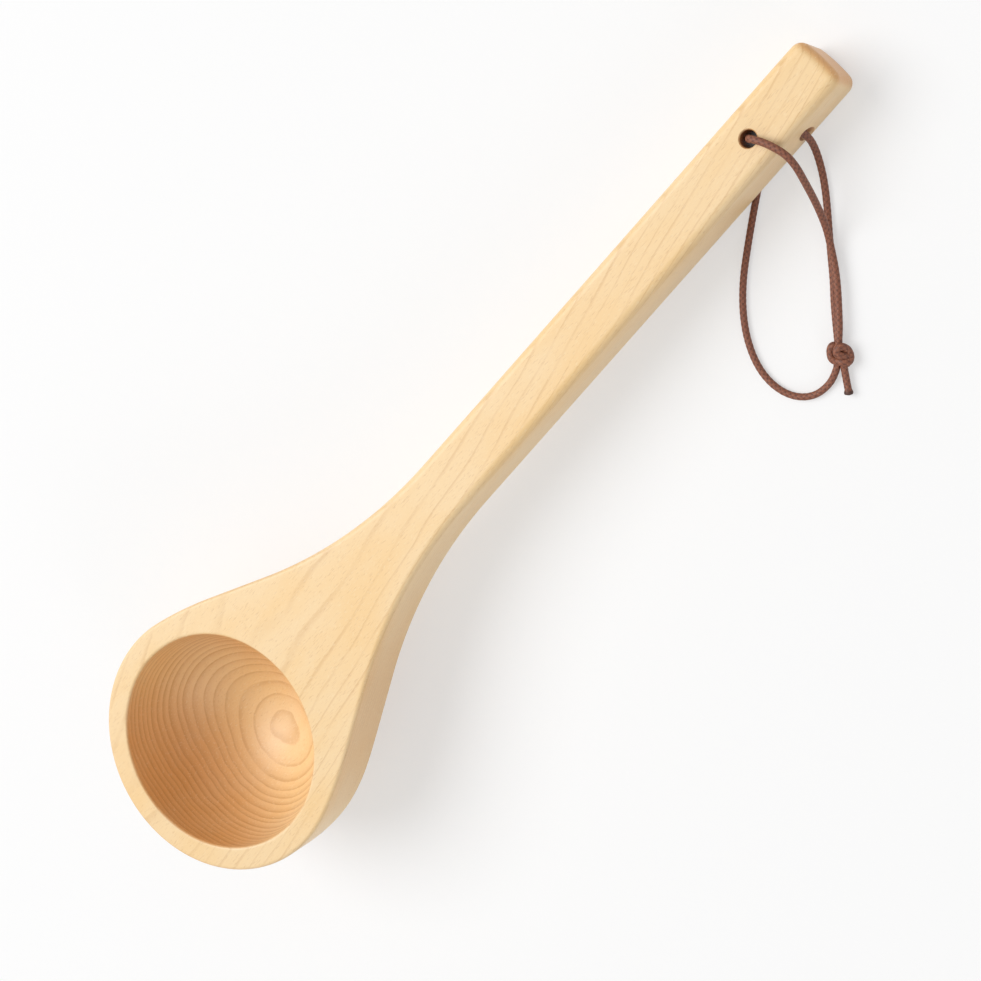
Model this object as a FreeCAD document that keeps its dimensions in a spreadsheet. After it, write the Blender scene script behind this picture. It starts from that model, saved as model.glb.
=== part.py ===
"""A wooden sauna ladle with a hanging cord: one carved ladle and one knotted cord.

The ladle is drawn in its own frame first: the middle of the bowl's mouth is the zero point, +X runs
along the handle to its end, and +Z stands out of the flat upper face. It is then tilted to the way it
rests: on the bottom of the bowl and on the lower edge of the handle's end. The row's frame has +Z up,
the surface it rests on at zero height, and the ladle's middle over the zero point.
"""
import FreeCAD, Part
import math
import os

import Sketcher

Vector = FreeCAD.Vector
document = FreeCAD.newDocument("sauna_ladle")

# Driving sizes, in millimetres and degrees
SIZES = {
    "ladle_length": 376.0,
    "bowl_diameter": 100.0,
    "bowl_depth": 50.0,
    "bowl_band": 14.0,
    "bowl_shoulder_radius": 24.0,
    "mouth_diameter": 82.0,
    "mouth_depth": 40.0,
    "mouth_lip_radius": 1.0,
    "board_thickness": 24.0,
    "cheek_radius": 165.0,
    "flank_beyond_bowl": 1.4,
    "flank_angle": 25.0,
    "throat_radius": 182.0,
    "handle_taper": 0.4,
    "end_width": 18.4,
    "end_corner_radius": 5.0,
    "edge_radius": 2.0,
    "neck_root_radius": 8.0,
    "sweep_start": 25.0,
    "sweep_radius": 36.0,
    "saw_margin": 10.0,
    "bore_diameter": 5.5,
    "bore_from_end": 32.0,
    "bore_lip": 0.7,
    "side_bore_diameter": 5.6,
    "side_bore_from_end": 21.0,
    "side_bore_below_face": 16.0,
    "side_bore_slope": 60.0,
    "side_bore_depth": 10.0,
    "cord_diameter": 2.4,
    "knot_length": 8.4,
    "knot_width": 9.0,
    "knot_height": 5.4,
}

sheet = document.addObject("Spreadsheet::Sheet", "Sizes")
for row, (alias, value) in enumerate(SIZES.items(), start=1):
    sheet.set(f"A{row}", alias)
    sheet.set(f"B{row}", str(value))
    sheet.setAlias(f"B{row}", alias)
document.recompute()


def size(alias):
    """The value of one driving size, read from the sheet."""
    return float(sheet.get(alias))


def origin_feature(body, role):
    """The plane or axis of a body's origin that plays the given role."""
    return [feature for feature in body.Origin.OriginFeatures if feature.Role == role][0]


def add_sketch(body, name, role):
    """A new sketch on one of the body's own origin planes."""
    sketch = body.newObject("Sketcher::SketchObject", name)
    sketch.AttachmentSupport = [(origin_feature(body, role), "")]
    sketch.MapMode = "FlatFace"
    return sketch


def drive(sketch, constraint, formula):
    """Adds a dimension to a sketch and ties it to a formula of the driving sizes."""
    index = sketch.addConstraint(constraint)
    sketch.setExpression(f"Constraints[{index}]", formula)


def line(start, end):
    """A straight sketch edge between two (x, y) points."""
    return Part.LineSegment(Vector(*start, 0), Vector(*end, 0))


def arc(centre, radius, start_angle, end_angle):
    """A round sketch edge, turning anticlockwise between two angles in degrees."""
    circle = Part.Circle(Vector(*centre, 0), Vector(0, 0, 1), radius)
    return Part.ArcOfCircle(circle, math.radians(start_angle), math.radians(end_angle))


def polar(centre, radius, angle):
    """The (x, y) point at an angle in degrees on a circle."""
    turn = math.radians(angle)
    return centre[0] + radius * math.cos(turn), centre[1] + radius * math.sin(turn)


# Points of a sketch edge, and a sketch's own zero point and axes, as the constraints number them
START, END, CENTRE = 1, 2, 3
ORIGIN, X_AXIS, Y_AXIS = -1, -1, -2

# An edge shorter than this is a seam that has shrunk to a point
POINT_SIZE = 0.01

# Two lengths count as the same within this slack, and two faces meet sharply above this angle
SLACK = 0.05
SHARP_ANGLE = 10


def draw_waste(sketch):
    """The wood that is sawn off one side: beyond the bowl, cheek, flank, throat, handle and rounded end."""
    bowl_radius = size("bowl_diameter") / 2
    reach = size("ladle_length") - bowl_radius
    flank_reach = bowl_radius + size("flank_beyond_bowl")
    cheek = size("cheek_radius")
    throat = size("throat_radius")
    corner = size("end_corner_radius")
    half_end = size("end_width") / 2
    taper = size("handle_taper")
    margin = size("saw_margin")
    flank_normal = 90 - size("flank_angle")
    handle_normal = 90 - taper
    # The flank is tangent to the cheek's arc, and the cheek's arc to the bowl
    swing = math.degrees(math.acos((cheek - flank_reach) / (cheek - bowl_radius)))
    cheek_start = flank_normal + swing
    cheek_centre = polar((0, 0), bowl_radius - cheek, cheek_start)
    # The throat's arc is tangent to the flank and to the handle's side
    hold = polar((0, 0), 1, flank_normal)
    grip = polar((0, 0), 1, handle_normal)
    flank_offset = flank_reach + throat
    handle_offset = (reach - corner) * grip[0] + half_end * grip[1] + throat
    spread = hold[0] * grip[1] - hold[1] * grip[0]
    throat_centre = (
        (flank_offset * grip[1] - hold[1] * handle_offset) / spread,
        (hold[0] * handle_offset - flank_offset * grip[0]) / spread,
    )
    corner_centre = (reach - corner, half_end - corner)

    bowl = sketch.addGeometry(arc((0, 0), bowl_radius, cheek_start, 180), False)
    cheek_arc = sketch.addGeometry(arc(cheek_centre, cheek, flank_normal, cheek_start), False)
    flank_start = polar(cheek_centre, cheek, flank_normal)
    flank_end = polar(throat_centre, -throat, flank_normal)
    flank = sketch.addGeometry(line(flank_start, flank_end), False)
    throat_arc = sketch.addGeometry(
        arc(throat_centre, throat, 180 + flank_normal, 180 + handle_normal), False)
    side_start = polar(throat_centre, -throat, handle_normal)
    side_end = polar(corner_centre, corner, handle_normal)
    side = sketch.addGeometry(line(side_start, side_end), False)
    corner_arc = sketch.addGeometry(arc(corner_centre, corner, 0, handle_normal), False)
    end = sketch.addGeometry(line((reach, 0), polar(corner_centre, corner, 0)), False)
    far_x = reach + margin
    near_x = -bowl_radius - margin
    far_y = bowl_radius + margin
    border = [(reach, 0), (far_x, 0), (far_x, far_y), (near_x, far_y), (near_x, 0), (-bowl_radius, 0)]
    waste = [sketch.addGeometry(line(here, there), False) for here, there in zip(border, border[1:])]

    sketch.addConstraint([
        Sketcher.Constraint("Coincident", bowl, CENTRE, ORIGIN, START),
        Sketcher.Constraint("Tangent", bowl, START, cheek_arc, END),
        Sketcher.Constraint("Tangent", cheek_arc, START, flank, START),
        Sketcher.Constraint("Tangent", flank, END, throat_arc, START),
        Sketcher.Constraint("Tangent", throat_arc, END, side, START),
        Sketcher.Constraint("Tangent", side, END, corner_arc, END),
        Sketcher.Constraint("Tangent", corner_arc, START, end, END),
        Sketcher.Constraint("Coincident", end, START, waste[0], START),
        Sketcher.Constraint("Coincident", waste[0], END, waste[1], START),
        Sketcher.Constraint("Coincident", waste[1], END, waste[2], START),
        Sketcher.Constraint("Coincident", waste[2], END, waste[3], START),
        Sketcher.Constraint("Coincident", waste[3], END, waste[4], START),
        Sketcher.Constraint("Coincident", waste[4], END, bowl, END),
        Sketcher.Constraint("PointOnObject", waste[0], START, X_AXIS),
        Sketcher.Constraint("Horizontal", waste[0]),
        Sketcher.Constraint("Vertical", waste[1]),
        Sketcher.Constraint("Horizontal", waste[2]),
        Sketcher.Constraint("Vertical", waste[3]),
        Sketcher.Constraint("PointOnObject", waste[4], START, X_AXIS),
        Sketcher.Constraint("PointOnObject", waste[4], END, X_AXIS),
        Sketcher.Constraint("Vertical", end),
    ])
    for run in (waste[0], waste[4]):
        drive(sketch, Sketcher.Constraint("DistanceX", run, START, run, END, margin), "Sizes.saw_margin")
    drive(sketch, Sketcher.Constraint("DistanceY", waste[1], START, waste[1], END, far_y),
          "Sizes.bowl_diameter / 2 + Sizes.saw_margin")
    drive(sketch, Sketcher.Constraint("Radius", bowl, bowl_radius), "Sizes.bowl_diameter / 2")
    drive(sketch, Sketcher.Constraint("Radius", cheek_arc, cheek), "Sizes.cheek_radius")
    drive(sketch, Sketcher.Constraint("Radius", throat_arc, throat), "Sizes.throat_radius")
    drive(sketch, Sketcher.Constraint("Radius", corner_arc, corner), "Sizes.end_corner_radius")
    drive(sketch, Sketcher.Constraint("Distance", ORIGIN, START, flank, flank_reach),
          "Sizes.bowl_diameter / 2 + Sizes.flank_beyond_bowl")
    drive(sketch, Sketcher.Constraint("Angle", flank, math.radians(-size("flank_angle"))),
          "-Sizes.flank_angle * 1 deg")
    drive(sketch, Sketcher.Constraint("Angle", side, math.radians(-taper)), "-Sizes.handle_taper * 1 deg")
    drive(sketch, Sketcher.Constraint("DistanceY", ORIGIN, START, corner_arc, CENTRE, half_end - corner),
          "Sizes.end_width / 2 - Sizes.end_corner_radius")
    drive(sketch, Sketcher.Constraint("DistanceX", ORIGIN, START, end, START, reach),
          "Sizes.ladle_length - Sizes.bowl_diameter / 2")


def draw_board(sketch):
    """The blank's side view: a flat upper face, an even thickness, and a sweep up under the bowl."""
    reach = size("ladle_length") - size("bowl_diameter") / 2
    thickness = size("board_thickness")
    start = size("sweep_start")
    sweep = size("sweep_radius")
    centre = (start, sweep - thickness)
    rise = math.degrees(math.asin((sweep - thickness) / sweep))

    top = sketch.addGeometry(line(polar(centre, sweep, 180 + rise), (reach, 0)), False)
    end = sketch.addGeometry(line((reach, 0), (reach, -thickness)), False)
    under = sketch.addGeometry(line((reach, -thickness), (start, -thickness)), False)
    sweep_arc = sketch.addGeometry(arc(centre, sweep, 180 + rise, 270), False)
    sketch.addConstraint([
        Sketcher.Constraint("PointOnObject", top, START, X_AXIS),
        Sketcher.Constraint("PointOnObject", top, END, X_AXIS),
        Sketcher.Constraint("Coincident", top, END, end, START),
        Sketcher.Constraint("Vertical", end),
        Sketcher.Constraint("Coincident", end, END, under, START),
        Sketcher.Constraint("Horizontal", under),
        Sketcher.Constraint("Tangent", under, END, sweep_arc, END),
        Sketcher.Constraint("Coincident", sweep_arc, START, top, START),
    ])
    drive(sketch, Sketcher.Constraint("DistanceX", ORIGIN, START, top, END, reach),
          "Sizes.ladle_length - Sizes.bowl_diameter / 2")
    drive(sketch, Sketcher.Constraint("DistanceY", end, END, end, START, thickness),
          "Sizes.board_thickness")
    drive(sketch, Sketcher.Constraint("DistanceX", ORIGIN, START, sweep_arc, CENTRE, start),
          "Sizes.sweep_start")
    drive(sketch, Sketcher.Constraint("Radius", sweep_arc, sweep), "Sizes.sweep_radius")


def draw_underside_of_bowl(sketch):
    """Half of the bowl's turned outside: an upright band, a round shoulder and a shallow bottom."""
    radius = size("bowl_diameter") / 2
    depth = size("bowl_depth")
    band = size("bowl_band")
    shoulder = size("bowl_shoulder_radius")
    inset = radius - shoulder
    drop = depth - band
    bottom = (inset ** 2 + drop ** 2 - shoulder ** 2) / (2 * (drop - shoulder))
    bottom_centre = (0, bottom - depth)
    shoulder_centre = (inset, -band)
    meeting = math.degrees(math.atan2(-band - bottom_centre[1], inset))

    top = sketch.addGeometry(line((0, 0), (radius, 0)), False)
    wall = sketch.addGeometry(line((radius, 0), (radius, -band)), False)
    shoulder_arc = sketch.addGeometry(arc(shoulder_centre, shoulder, meeting, 0), False)
    bottom_arc = sketch.addGeometry(arc(bottom_centre, bottom, -90, meeting), False)
    middle = sketch.addGeometry(line((0, -depth), (0, 0)), False)
    sketch.addConstraint([
        Sketcher.Constraint("Coincident", top, START, ORIGIN, START),
        Sketcher.Constraint("Horizontal", top),
        Sketcher.Constraint("Coincident", top, END, wall, START),
        Sketcher.Constraint("Vertical", wall),
        Sketcher.Constraint("Tangent", wall, END, shoulder_arc, END),
        Sketcher.Constraint("Tangent", shoulder_arc, START, bottom_arc, END),
        Sketcher.Constraint("Coincident", bottom_arc, START, middle, START),
        Sketcher.Constraint("Coincident", middle, END, top, START),
        Sketcher.Constraint("Vertical", middle),
        Sketcher.Constraint("PointOnObject", bottom_arc, CENTRE, Y_AXIS),
    ])
    drive(sketch, Sketcher.Constraint("DistanceX", top, START, top, END, radius), "Sizes.bowl_diameter / 2")
    drive(sketch, Sketcher.Constraint("DistanceY", wall, END, wall, START, band), "Sizes.bowl_band")
    drive(sketch, Sketcher.Constraint("Radius", shoulder_arc, shoulder), "Sizes.bowl_shoulder_radius")
    drive(sketch, Sketcher.Constraint("DistanceY", middle, START, middle, END, depth), "Sizes.bowl_depth")
    return bottom


def draw_hollow(sketch):
    """Half of the bowl's hollow: one arc from the mouth's edge down to the middle of the bottom."""
    radius = size("mouth_diameter") / 2
    depth = size("mouth_depth")
    sphere = (radius ** 2 + depth ** 2) / (2 * depth)
    centre = (0, sphere - depth)
    mouth_angle = math.degrees(math.atan2(-centre[1], radius))

    mouth = sketch.addGeometry(line((0, 0), (radius, 0)), False)
    hollow = sketch.addGeometry(arc(centre, sphere, -90, mouth_angle), False)
    middle = sketch.addGeometry(line((0, -depth), (0, 0)), False)
    sketch.addConstraint([
        Sketcher.Constraint("Coincident", mouth, START, ORIGIN, START),
        Sketcher.Constraint("Horizontal", mouth),
        Sketcher.Constraint("Coincident", mouth, END, hollow, END),
        Sketcher.Constraint("Coincident", hollow, START, middle, START),
        Sketcher.Constraint("Coincident", middle, END, mouth, START),
        Sketcher.Constraint("Vertical", middle),
        Sketcher.Constraint("PointOnObject", hollow, CENTRE, Y_AXIS),
    ])
    drive(sketch, Sketcher.Constraint("DistanceX", mouth, START, mouth, END, radius),
          "Sizes.mouth_diameter / 2")
    drive(sketch, Sketcher.Constraint("DistanceY", middle, START, middle, END, depth), "Sizes.mouth_depth")


def edges_where(feature, test):
    """The names of a feature's edges that pass a test; seams that have shrunk to a point are left out."""
    names = []
    for number, edge in enumerate(feature.Shape.Edges, start=1):
        if edge.Length > POINT_SIZE:
            middle = edge.valueAt((edge.FirstParameter + edge.LastParameter) / 2)
            if test(feature, edge, middle):
                names.append(f"Edge{number}")
    return names


def near(value, target):
    """Whether two lengths are the same, give or take the slack."""
    return abs(value - target) < SLACK


def is_neck_root(feature, edge, middle):
    """Whether an edge lies where the underside of the board meets the bowl."""
    inside_bowl = math.hypot(middle.x, middle.y) < size("bowl_diameter") / 2
    in_board = SLACK < -middle.z < size("board_thickness") + SLACK
    return middle.x > 0 and inside_bowl and in_board


def is_sharp(feature, edge, middle):
    """Whether the two faces that meet at an edge stand at an angle to each other."""
    faces = feature.Shape.ancestorsOfType(edge, Part.Face)
    normals = [face.normalAt(*face.Surface.parameter(middle)) for face in faces]
    return len(normals) == 2 and math.degrees(normals[0].getAngle(normals[1])) > SHARP_ANGLE


def is_upper_edge(feature, edge, middle):
    """Whether an edge runs along the sawn outline at the upper face."""
    return near(middle.z, 0) and is_sharp(feature, edge, middle)


def is_mouth_edge(feature, edge, middle):
    """Whether an edge is the rim of the bowl's hollow."""
    return near(middle.z, 0) and near(math.hypot(middle.x, middle.y), size("mouth_diameter") / 2)


def is_bore_edge(feature, edge, middle):
    """Whether an edge is one of the two mouths of the bore through the handle."""
    centre = size("ladle_length") - size("bowl_diameter") / 2 - size("bore_from_end")
    at_face = near(middle.z, 0) or near(middle.z, -size("board_thickness"))
    return at_face and near(math.hypot(middle.x - centre, middle.y), size("bore_diameter") / 2)


def turned(body, kind, name, sketch):
    """A full turn of a sketch about its own upright axis, added to the body or cut from it."""
    feature = body.newObject(kind, name)
    feature.Profile = sketch
    feature.ReferenceAxis = (sketch, ["V_Axis"])
    feature.Angle = 360
    document.recompute()
    return feature


def rounded(body, name, base, test, radius):
    """Rounds the edges of a feature that pass a test, with a radius tied to a driving size."""
    fillet = body.newObject("PartDesign::Fillet", name)
    fillet.Base = (base, edges_where(base, test))
    fillet.setExpression("Radius", radius)
    document.recompute()
    return fillet


def build_ladle():
    """The ladle: a board sawn to its outline, a turned bowl, rounded edges and the cord's two bores."""
    body = document.addObject("PartDesign::Body", "Carving")
    body.Label = "ladle"

    side_view = add_sketch(body, "BoardSide", "XZ_Plane")
    draw_board(side_view)
    document.recompute()
    board = body.newObject("PartDesign::Pad", "Board")
    board.Profile = side_view
    board.Midplane = True
    board.setExpression("Length", "Sizes.bowl_diameter + 2 * Sizes.saw_margin")
    document.recompute()

    outside = add_sketch(body, "BowlOutside", "XZ_Plane")
    bottom_radius = draw_underside_of_bowl(outside)
    document.recompute()
    bowl = turned(body, "PartDesign::Revolution", "Bowl", outside)
    rounded(body, "NeckRoot", bowl, is_neck_root, "Sizes.neck_root_radius")

    plan = add_sketch(body, "Waste", "XY_Plane")
    draw_waste(plan)
    document.recompute()
    sawn = body.newObject("PartDesign::Pocket", "SawnSide")
    sawn.Profile = plan
    sawn.Type = "ThroughAll"
    document.recompute()
    outline = body.newObject("PartDesign::Mirrored", "Outline")
    outline.Originals = [sawn]
    outline.MirrorPlane = (origin_feature(body, "XZ_Plane"), [""])
    body.Tip = outline
    document.recompute()
    rounded(body, "UpperEdges", outline, is_upper_edge, "Sizes.edge_radius")

    section = add_sketch(body, "HollowSection", "XZ_Plane")
    draw_hollow(section)
    document.recompute()
    hollow = turned(body, "PartDesign::Groove", "Hollow", section)
    rounded(body, "MouthLip", hollow, is_mouth_edge, "Sizes.mouth_lip_radius")

    bore_circle = add_sketch(body, "BoreCircle", "XY_Plane")
    station = size("ladle_length") - size("bowl_diameter") / 2 - size("bore_from_end")
    circle = bore_circle.addGeometry(
        Part.Circle(Vector(station, 0, 0), Vector(0, 0, 1), size("bore_diameter") / 2), False)
    bore_circle.addConstraint(Sketcher.Constraint("PointOnObject", circle, CENTRE, X_AXIS))
    drive(bore_circle, Sketcher.Constraint("DistanceX", ORIGIN, START, circle, CENTRE, station),
          "Sizes.ladle_length - Sizes.bowl_diameter / 2 - Sizes.bore_from_end")
    drive(bore_circle, Sketcher.Constraint("Radius", circle, size("bore_diameter") / 2),
          "Sizes.bore_diameter / 2")
    document.recompute()
    bore = body.newObject("PartDesign::Pocket", "Bore")
    bore.Profile = bore_circle
    bore.Type = "ThroughAll"
    document.recompute()
    rounded(body, "BoreLips", bore, is_bore_edge, "Sizes.bore_lip")

    # The side bore slopes up into the wood from the handle's right-hand side
    side_bore = body.newObject("PartDesign::SubtractiveCylinder", "SideBore")
    side_bore.AttachmentSupport = [(origin_feature(body, "XY_Plane"), "")]
    side_bore.MapMode = "FlatFace"
    side_bore.AttachmentOffset = FreeCAD.Placement(Vector(0, 0, 0), FreeCAD.Rotation(Vector(1, 0, 0), -1))
    side_bore.setExpression("Radius", "Sizes.side_bore_diameter / 2")
    side_bore.setExpression("Height", "2 * Sizes.side_bore_depth")
    side_bore.setExpression("AttachmentOffset.Rotation.Angle", "(90 - Sizes.side_bore_slope) * 1 deg")
    side_bore.setExpression("AttachmentOffset.Rotation.Axis.x", "-1")
    along_handle = "Sizes.ladle_length - Sizes.bowl_diameter / 2 - Sizes.side_bore_from_end"
    widening = "(Sizes.side_bore_from_end - Sizes.end_corner_radius) * tan(Sizes.handle_taper * 1 deg)"
    start_out = "Sizes.side_bore_depth * cos(Sizes.side_bore_slope * 1 deg)"
    start_below = "Sizes.side_bore_depth * sin(Sizes.side_bore_slope * 1 deg)"
    side_bore.setExpression("AttachmentOffset.Base.x", along_handle)
    side_bore.setExpression("AttachmentOffset.Base.y", f"-Sizes.end_width / 2 - {widening} - {start_out}")
    side_bore.setExpression("AttachmentOffset.Base.z", f"-Sizes.side_bore_below_face - {start_below}")
    document.recompute()
    return body, bottom_radius


def rest_on_the_ground(ladle, bottom_radius):
    """Tilts the ladle until its bowl and the end of its handle touch the ground, and centres it."""
    high = size("board_thickness") + bottom_radius - size("bowl_depth")
    far = size("ladle_length") - size("bowl_diameter") / 2
    tilt = math.atan2(far, high) - math.acos(bottom_radius / math.hypot(far, high))
    turn = FreeCAD.Rotation(Vector(0, 1, 0), math.degrees(tilt))
    ladle.Placement = FreeCAD.Placement(Vector(0, 0, 0), turn)
    document.recompute()
    box = ladle.Shape.optimalBoundingBox(False, False)
    shift = Vector(-(box.XMin + box.XMax) / 2, -(box.YMin + box.YMax) / 2, -box.ZMin)
    ladle.Placement = FreeCAD.Placement(shift, turn)
    document.recompute()
    return math.degrees(tilt), shift


# The cord's route, in the row's frame. One cord: from the side bore to the knot, on round the loop,
# under the handle, up through the bore, over the handle and back through the knot to its short tail
SIDE_STRAND = [
    (166.5, -4.5, 17.8),
    (165.6, -9.6, 9.4),
    (163.3, -12.9, 4.2),
    (160.3, -16.9, 1.2),
    (156.2, -22.8, 1.2),
    (150.8, -30.1, 1.2),
    (145.6, -37.2, 1.2),
    (140.7, -43.6, 2.0),
    (134.6, -50.5, 2.1),
    (129.4, -55.9, 2.9),
    (125.8, -60.2, 3.5),
    (123.3, -63.2, 3.0),
]
LOOP = [
    (119.1, -64.3, 2.4),
    (116.4, -66.5, 1.8),
    (111.2, -67.8, 1.2),
    (104.4, -66.4, 1.2),
    (99.2, -61.0, 1.2),
    (97.4, -52.6, 1.2),
    (99.4, -43.4, 1.2),
    (105.2, -33.6, 1.2),
    (114.6, -24.2, 1.2),
    (126.6, -16.1, 1.2),
    (138.0, -8.9, 1.2),
    (146.0, -4.3, 1.2),
    (150.0, -2.2, 1.2),
    (152.15, -1.1, 1.2),
    (153.65, -0.3, 2.8),
    (154.0, -0.1, 7.0),
    (155.0, 0.2, 14.8),
    (155.9, 0.1, 22.4),
    (156.2, 0.1, 26.4),
    (157.4, -1.6, 28.5),
    (159.4, -5.4, 29.0),
    (160.6, -10.6, 28.8),
    (160.2, -15.8, 26.8),
    (157.6, -21.4, 22.0),
    (153.8, -26.4, 15.2),
    (149.2, -31.0, 8.4),
    (144.0, -36.0, 3.2),
    (138.2, -42.2, 1.2),
    (132.2, -49.2, 1.2),
    (127.2, -55.2, 1.2),
    (123.8, -59.4, 1.4),
    (121.2, -62.0, 2.0),
]
TAIL = [
    (121.0, -65.4, 2.6),
    (118.4, -68.3, 2.2),
    (116.0, -71.3, 1.5),
    (113.6, -74.4, 1.3),
]
KNOT_MIDDLE = (121.0, -63.9)
KNOT_TURN = 38.5

# The share of the shorter run that an arc takes at each end
ARC_SHARE = 0.45


def route(points):
    """A path of straight runs joined by tangent arcs, each as large as its two runs allow, and its radii."""
    corners = [Vector(*point) for point in points]
    edges = []
    radii = []
    start = corners[0]
    for before, corner, after in zip(corners, corners[1:], corners[2:]):
        back = before - corner
        ahead = after - corner
        cut = ARC_SHARE * min(back.Length, ahead.Length)
        half_turn = (math.pi - back.getAngle(ahead)) / 2
        radius = cut / math.tan(half_turn)
        radii.append(radius)
        back.normalize()
        ahead.normalize()
        bisector = back + ahead
        bisector.normalize()
        arc_start = corner + back * cut
        arc_end = corner + ahead * cut
        arc_middle = corner + bisector * (math.hypot(cut, radius) - radius)
        edges.append(Part.LineSegment(start, arc_start).toShape())
        edges.append(Part.Arc(arc_start, arc_middle, arc_end).toShape())
        start = arc_end
    edges.append(Part.LineSegment(start, corners[-1]).toShape())
    return Part.Wire(edges), radii


def add_strand(name, label, points, knot):
    """One stretch of the cord: a round tube along its route, cut off where the knot's surface begins."""
    path, radii = route(points)
    radius = size("cord_diameter") / 2
    section = Part.Circle(Vector(*points[0]), Vector(*points[1]) - Vector(*points[0]), radius)
    tube = document.addObject("Part::Feature", name + "Tube")
    tube.Shape = path.makePipe(Part.Face(Part.Wire(section.toShape())))
    expected = math.pi * radius ** 2 * path.Length
    print(f"{label}: path {path.Length:.1f}, tube volume {tube.Shape.Volume:.1f} of {expected:.1f}, radii",
          [round(value, 1) for value in radii])
    strand = document.addObject("Part::Cut", name)
    strand.Base = tube
    strand.Tool = knot
    strand.Label = label
    document.recompute()
    return strand


def draw_lobe(sketch):
    """Half of a knot lobe's long section: a straight side between two quarter rounds."""
    radius = size("knot_height") / 2
    straight = size("knot_length") / 2 - radius
    axis = sketch.addGeometry(line((-straight - radius, 0), (straight + radius, 0)), False)
    right = sketch.addGeometry(arc((straight, 0), radius, 0, 90), False)
    side = sketch.addGeometry(line((straight, radius), (-straight, radius)), False)
    left = sketch.addGeometry(arc((-straight, 0), radius, 90, 180), False)
    sketch.addConstraint([
        Sketcher.Constraint("PointOnObject", axis, START, X_AXIS),
        Sketcher.Constraint("Coincident", axis, END, right, START),
        Sketcher.Constraint("Tangent", right, END, side, START),
        Sketcher.Constraint("Tangent", side, END, left, START),
        Sketcher.Constraint("Coincident", left, END, axis, START),
        Sketcher.Constraint("Horizontal", side),
        Sketcher.Constraint("PointOnObject", right, CENTRE, X_AXIS),
        Sketcher.Constraint("PointOnObject", left, CENTRE, X_AXIS),
        Sketcher.Constraint("Symmetric", axis, START, axis, END, ORIGIN, START),
    ])
    drive(sketch, Sketcher.Constraint("DistanceX", axis, START, axis, END, size("knot_length")),
          "Sizes.knot_length")
    drive(sketch, Sketcher.Constraint("Radius", left, radius), "Sizes.knot_height / 2")


def build_knot():
    """The overhand knot's plain outer shape: two round lobes side by side, along the strands."""
    body = document.addObject("PartDesign::Body", "Knot")
    body.Label = "cord_knot"
    section = add_sketch(body, "LobeSection", "XY_Plane")
    section.setExpression("AttachmentOffset.Base.y", "(Sizes.knot_width - Sizes.knot_height) / 2")
    draw_lobe(section)
    document.recompute()
    lobe = body.newObject("PartDesign::Revolution", "Lobe")
    lobe.Profile = section
    lobe.ReferenceAxis = (section, ["H_Axis"])
    lobe.Angle = 360
    document.recompute()
    pair = body.newObject("PartDesign::Mirrored", "Lobes")
    pair.Originals = [lobe]
    pair.MirrorPlane = (origin_feature(body, "XZ_Plane"), [""])
    body.Tip = pair
    body.Placement = FreeCAD.Placement(
        Vector(*KNOT_MIDDLE, size("knot_height") / 2), FreeCAD.Rotation(Vector(0, 0, 1), KNOT_TURN))
    document.recompute()
    return body


ladle, bottom_radius = build_ladle()
tilt, shift = rest_on_the_ground(ladle, bottom_radius)
print("tilt", tilt, "shift", shift)
knot = build_knot()
strands = [
    add_strand("SideStrand", "cord_side_strand", SIDE_STRAND, knot),
    add_strand("Loop", "cord_loop", LOOP, knot),
    add_strand("Tail", "cord_tail", TAIL, knot),
]
pieces = [ladle, knot, *strands]
faults = [item.Name for item in document.Objects if "Invalid" in item.State or "Error" in item.State]
faults += [piece.Label for piece in pieces if piece.Shape.isNull() or not piece.Shape.isValid()]
if faults:
    raise RuntimeError("These objects failed: " + ", ".join(faults))

os.makedirs("parts", exist_ok=True)
for piece in pieces:
    piece.Shape.exportStep(f"parts/{piece.Label}.step")
    print(piece.Label, "solids", len(piece.Shape.Solids), "volume", round(piece.Shape.Volume, 1))
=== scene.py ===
# %% [markdown]
# # A wooden sauna ladle with a hanging cord
#
# The ladle is one piece of pale wood: a flat handle sawn to its outline, and a bowl that was turned
# round on the outside and hollow on the inside. A thin brown cord goes through the handle and is
# tied in a knot, so that the ladle can hang from a hook. The imported CAD model comes first: it gives
# the frame that every piece below is placed in.

# %% Load the imported model
import math

import bpy
import numpy as np
from mathutils import Euler, Matrix, Vector


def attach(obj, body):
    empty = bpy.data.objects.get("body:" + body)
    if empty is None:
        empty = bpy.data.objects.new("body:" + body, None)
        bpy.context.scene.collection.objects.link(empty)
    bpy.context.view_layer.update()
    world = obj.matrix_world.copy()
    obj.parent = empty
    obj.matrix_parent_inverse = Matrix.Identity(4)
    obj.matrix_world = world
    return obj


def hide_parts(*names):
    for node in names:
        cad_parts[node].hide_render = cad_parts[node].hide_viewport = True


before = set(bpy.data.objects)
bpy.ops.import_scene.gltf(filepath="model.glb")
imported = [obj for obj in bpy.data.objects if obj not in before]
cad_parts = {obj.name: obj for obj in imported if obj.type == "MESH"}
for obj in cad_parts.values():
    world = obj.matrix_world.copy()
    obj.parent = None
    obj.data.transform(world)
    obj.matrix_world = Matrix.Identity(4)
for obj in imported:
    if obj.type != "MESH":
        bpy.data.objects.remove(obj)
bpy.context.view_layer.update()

print("nodes:", sorted(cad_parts))

# %% [markdown]
# ## Two frames
#
# A carver thinks of the ladle as lying level: the middle of the bowl's mouth is the zero point, +X
# runs along the handle, and the flat upper face is at zero height. On a table the ladle tips a
# little, until the bowl's bottom and the lower edge of the handle's end both touch. The wood is
# worked out level and in millimetres, and `placed` carries it to where it rests.

# %% From the level ladle to the ladle at rest
MM = 0.001
TILT = math.radians(4.59267)
SHIFT = (-136.88101, 0.0, 50.02622)
HANDLE_END = 326.0


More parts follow.
